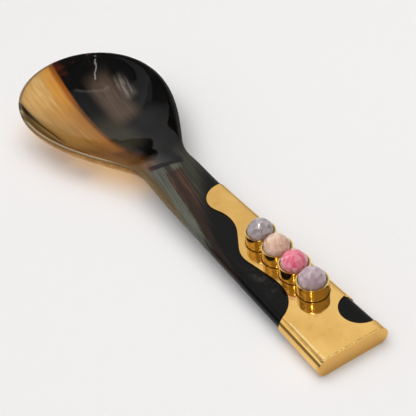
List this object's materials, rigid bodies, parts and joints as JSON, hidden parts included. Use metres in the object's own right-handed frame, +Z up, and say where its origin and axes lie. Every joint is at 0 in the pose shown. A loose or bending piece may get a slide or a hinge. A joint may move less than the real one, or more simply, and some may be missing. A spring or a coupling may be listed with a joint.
{
  "type": "serving spoon",
  "caption": "Serving spoon carved from horn, with a broad shallow bowl and a flat handle whose end is wrapped in sheet brass and set with round faceted stones.",
  "frame": {"origin": "middle of the footprint, on the surface the spoon rests on", "axes": "+X along the spoon from the handle's end to the bowl's tip, +Z up out of the bowl"},
  "size_m": [0.2526, 0.073, 0.0228],
  "materials": {
    "horn": "polished",
    "sheet_brass": "polished",
    "bezel_brass": "polished",
    "stone_grey": "polished",
    "stone_peach": "polished",
    "stone_pink": "polished",
    "stone_lilac": "polished"
  },
  "bodies": {
    "root": {"horn_body": "horn", "brass_sleeve": "sheet_brass", "end_plate": "sheet_brass", "bezel_1": "bezel_brass", "bezel_2": "bezel_brass", "bezel_3": "bezel_brass", "bezel_4": "bezel_brass", "stone_1": "stone_grey", "stone_2": "stone_peach", "stone_3": "stone_pink", "stone_4": "stone_lilac"}
  },
  "joints": []
}
